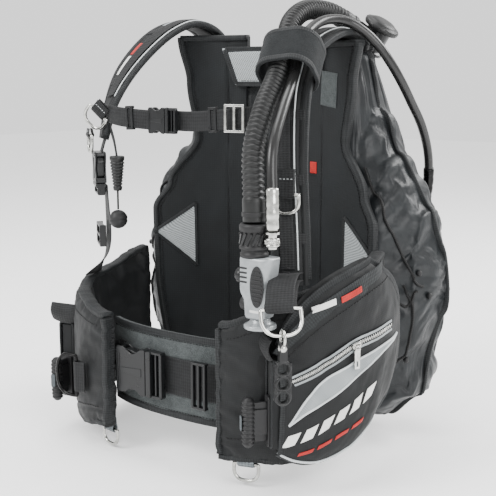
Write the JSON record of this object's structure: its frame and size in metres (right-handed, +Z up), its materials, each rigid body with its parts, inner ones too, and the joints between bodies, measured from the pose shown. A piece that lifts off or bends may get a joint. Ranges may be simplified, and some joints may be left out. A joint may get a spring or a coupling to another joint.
{
  "type": "buoyancy compensator vest",
  "caption": "Sleeveless jacket worn by a diver, with an air bladder behind, pockets, buckled straps, an inflator on a ribbed hose and a plate that carries a tank",
  "frame": {"origin": "centre of the backplate's tank-side face, at the middle of the tank band's height", "axes": "+Z up along the wearer's spine, -Y to the wearer's front, +X to the wearer's left"},
  "size_m": [0.4908, 0.5689, 0.5903],
  "materials": {
    "shell_nylon": "matt, closely woven",
    "body_panel": "soft, faintly napped",
    "wing_nylon": "satin, folded",
    "pad_mesh": "open air mesh over padding",
    "grey_fabric": "satin, closely woven",
    "loop_tape": "napped loop tape",
    "webbing": "ribbed flat weave",
    "stainless_steel": "bright",
    "black_plastic": "fine moulded grain",
    "dark_plastic": "semi-gloss",
    "silver_plastic": "metallic grey, semi-gloss",
    "hose_rubber": "satin",
    "cord_nylon": "braided"
  },
  "bodies": {
    "vest": {"backplate": "dark_plastic", "tank_band": "webbing", "cam_buckle": "dark_plastic", "carry_handle": "webbing", "back_pad": "pad_mesh", "collar_pad": "grey_fabric", "side_panel_left": "body_panel", "side_panel_right": "body_panel", "lobe_left": "shell_nylon", "lobe_right": "shell_nylon", "weight_sleeve_left": "shell_nylon", "weight_sleeve_right": "shell_nylon", "air_bladder": "wing_nylon", "cargo_pocket": "shell_nylon", "shoulder_strap_right": "shell_nylon", "shoulder_strap_left": "shell_nylon", "shoulder_buckle_socket": "dark_plastic", "shoulder_slider": "dark_plastic", "shoulder_webbing_right": "webbing", "sternum_socket": "dark_plastic", "sternum_webbing_right": "webbing", "sternum_webbing_left": "webbing", "sternum_triglide": "stainless_steel", "cummerbund": "loop_tape", "waist_belt_left": "webbing", "waist_belt_right": "webbing", "waist_socket": "dark_plastic", "waist_slider": "dark_plastic", "corrugated_hose": "hose_rubber", "lp_hose": "hose_rubber", "lp_connector": "stainless_steel", "lp_fitting": "stainless_steel", "hose_band": "loop_tape", "inflator_body": "silver_plastic", "mouthpiece": "silver_plastic", "shoulder_elbow": "dark_plastic", "valve_cap": "dark_plastic", "dump_sleeve": "dark_plastic"},
    "cam_lever": {"cam_lever": "dark_plastic"},
    "shoulder_plug": {"shoulder_buckle_plug": "dark_plastic"},
    "sternum_plug": {"sternum_plug": "dark_plastic"},
    "waist_plug": {"waist_plug": "dark_plastic"},
    "inflate_button": {"inflate_button": "dark_plastic"},
    "deflate_button": {"deflate_button": "dark_plastic"},
    "weight_pouch_left": {"weight_pouch_left": "shell_nylon", "weight_handle_left": "black_plastic"},
    "weight_pouch_right": {"weight_pouch_right": "shell_nylon", "weight_handle_right": "black_plastic"},
    "dump_pull": {"dump_ball": "black_plastic", "dump_cord": "cord_nylon"},
    "lp_collar": {"lp_collar": "stainless_steel"},
    "zip_pull": {"zip_pull": "stainless_steel"},
    "ring_shoulder_right": {"ring_shoulder_right": "stainless_steel"},
    "ring_shoulder_low": {"ring_shoulder_low": "stainless_steel"},
    "ring_shoulder_left": {"ring_shoulder_left": "stainless_steel"},
    "ring_hem_right": {"ring_hem_right": "stainless_steel"},
    "ring_hem_left": {"ring_hem_left": "stainless_steel"},
    "ring_front_right": {"ring_front_right": "black_plastic"},
    "ring_front_left": {"ring_front_left": "stainless_steel"},
    "retainer_clip": {"retainer_clip": "stainless_steel"}
  },
  "joints": [
    {"name": "cam_lever_pivot", "type": "hinge", "parent": "vest", "child": "cam_lever", "pos_m": [-0.03, 0.1998, 0], "axis": [0, 0, 1], "range_deg": [0, 100]},
    {"name": "shoulder_buckle_release", "type": "slide", "parent": "vest", "child": "shoulder_plug", "axis": [0, 0, -1], "range_m": [0, 0.038]},
    {"name": "sternum_buckle_release", "type": "slide", "parent": "vest", "child": "sternum_plug", "axis": [1, 0, 0], "range_m": [0, 0.026]},
    {"name": "waist_buckle_release", "type": "slide", "parent": "vest", "child": "waist_plug", "axis": [1, 0, 0], "range_m": [0, 0.048]},
    {"name": "inflate_press", "type": "slide", "parent": "vest", "child": "inflate_button", "axis": [1, 0, 0], "range_m": [0, 0.0035], "stiffness_N_per_m": 900, "springref_m": -0.002},
    {"name": "deflate_press", "type": "slide", "parent": "vest", "child": "deflate_button", "axis": [1, 0, 0], "range_m": [0, 0.0035], "stiffness_N_per_m": 900, "springref_m": -0.002},
    {"name": "pouch_left_release", "type": "slide", "parent": "vest", "child": "weight_pouch_left", "axis": [-0.6374, -0.7705, 0], "range_m": [0, 0.09]},
    {"name": "pouch_right_release", "type": "slide", "parent": "vest", "child": "weight_pouch_right", "axis": [0.1736, -0.9848, 0], "range_m": [0, 0.09]},
    {"name": "dump_pull_travel", "type": "slide", "parent": "vest", "child": "dump_pull", "axis": [0, 0, -1], "range_m": [0, 0.02], "stiffness_N_per_m": 150, "springref_m": -0.006},
    {"name": "lp_collar_lift", "type": "slide", "parent": "vest", "child": "lp_collar", "axis": [0, 0, 1], "range_m": [0, 0.0035], "stiffness_N_per_m": 500, "springref_m": -0.002},
    {"name": "zip_pull_swing", "type": "hinge", "parent": "vest", "child": "zip_pull", "pos_m": [0.2428, -0.24674, -0.084], "axis": [-0.3387, -0.9409, 0], "range_deg": [0, 60]},
    {"name": "ring_shoulder_right_swing", "type": "hinge", "parent": "vest", "child": "ring_shoulder_right", "pos_m": [-0.158, -0.254, 0.18], "axis": [0.6434, 0.3016, -0.7037], "range_deg": [-60, 8]},
    {"name": "ring_shoulder_low_swing", "type": "hinge", "parent": "vest", "child": "ring_shoulder_low", "pos_m": [-0.167, -0.262, 0.15], "axis": [0.8, -0.6, 0], "range_deg": [-40, 6]},
    {"name": "ring_shoulder_left_swing", "type": "hinge", "parent": "vest", "child": "ring_shoulder_left", "pos_m": [0.155, -0.266, 0.092], "axis": [0.9138, 0.4061, 0], "range_deg": [-60, 6]},
    {"name": "ring_hem_right_swing", "type": "hinge", "parent": "vest", "child": "ring_hem_right", "pos_m": [-0.103, -0.302, -0.239], "axis": [0.9806, -0.1961, 0], "range_deg": [-60, 60]},
    {"name": "ring_hem_left_swing", "type": "hinge", "parent": "vest", "child": "ring_hem_left", "pos_m": [0.122, -0.3, -0.236], "axis": [0.9578, 0.2873, 0], "range_deg": [-60, 60]},
    {"name": "ring_front_right_swing", "type": "hinge", "parent": "vest", "child": "ring_front_right", "pos_m": [-0.142, -0.324, -0.168], "axis": [0, 0, 1], "range_deg": [-30, 60]},
    {"name": "ring_front_left_swing", "type": "hinge", "parent": "vest", "child": "ring_front_left", "pos_m": [0.198, -0.34, -0.024], "axis": [0.6332, 0.774, 0], "range_deg": [-30, 12]},
    {"name": "retainer_clip_swing", "type": "hinge", "parent": "ring_front_left", "child": "retainer_clip", "pos_m": [0.206, -0.347, -0.059], "axis": [0.6332, 0.774, 0], "range_deg": [-30, 15]}
  ]
}
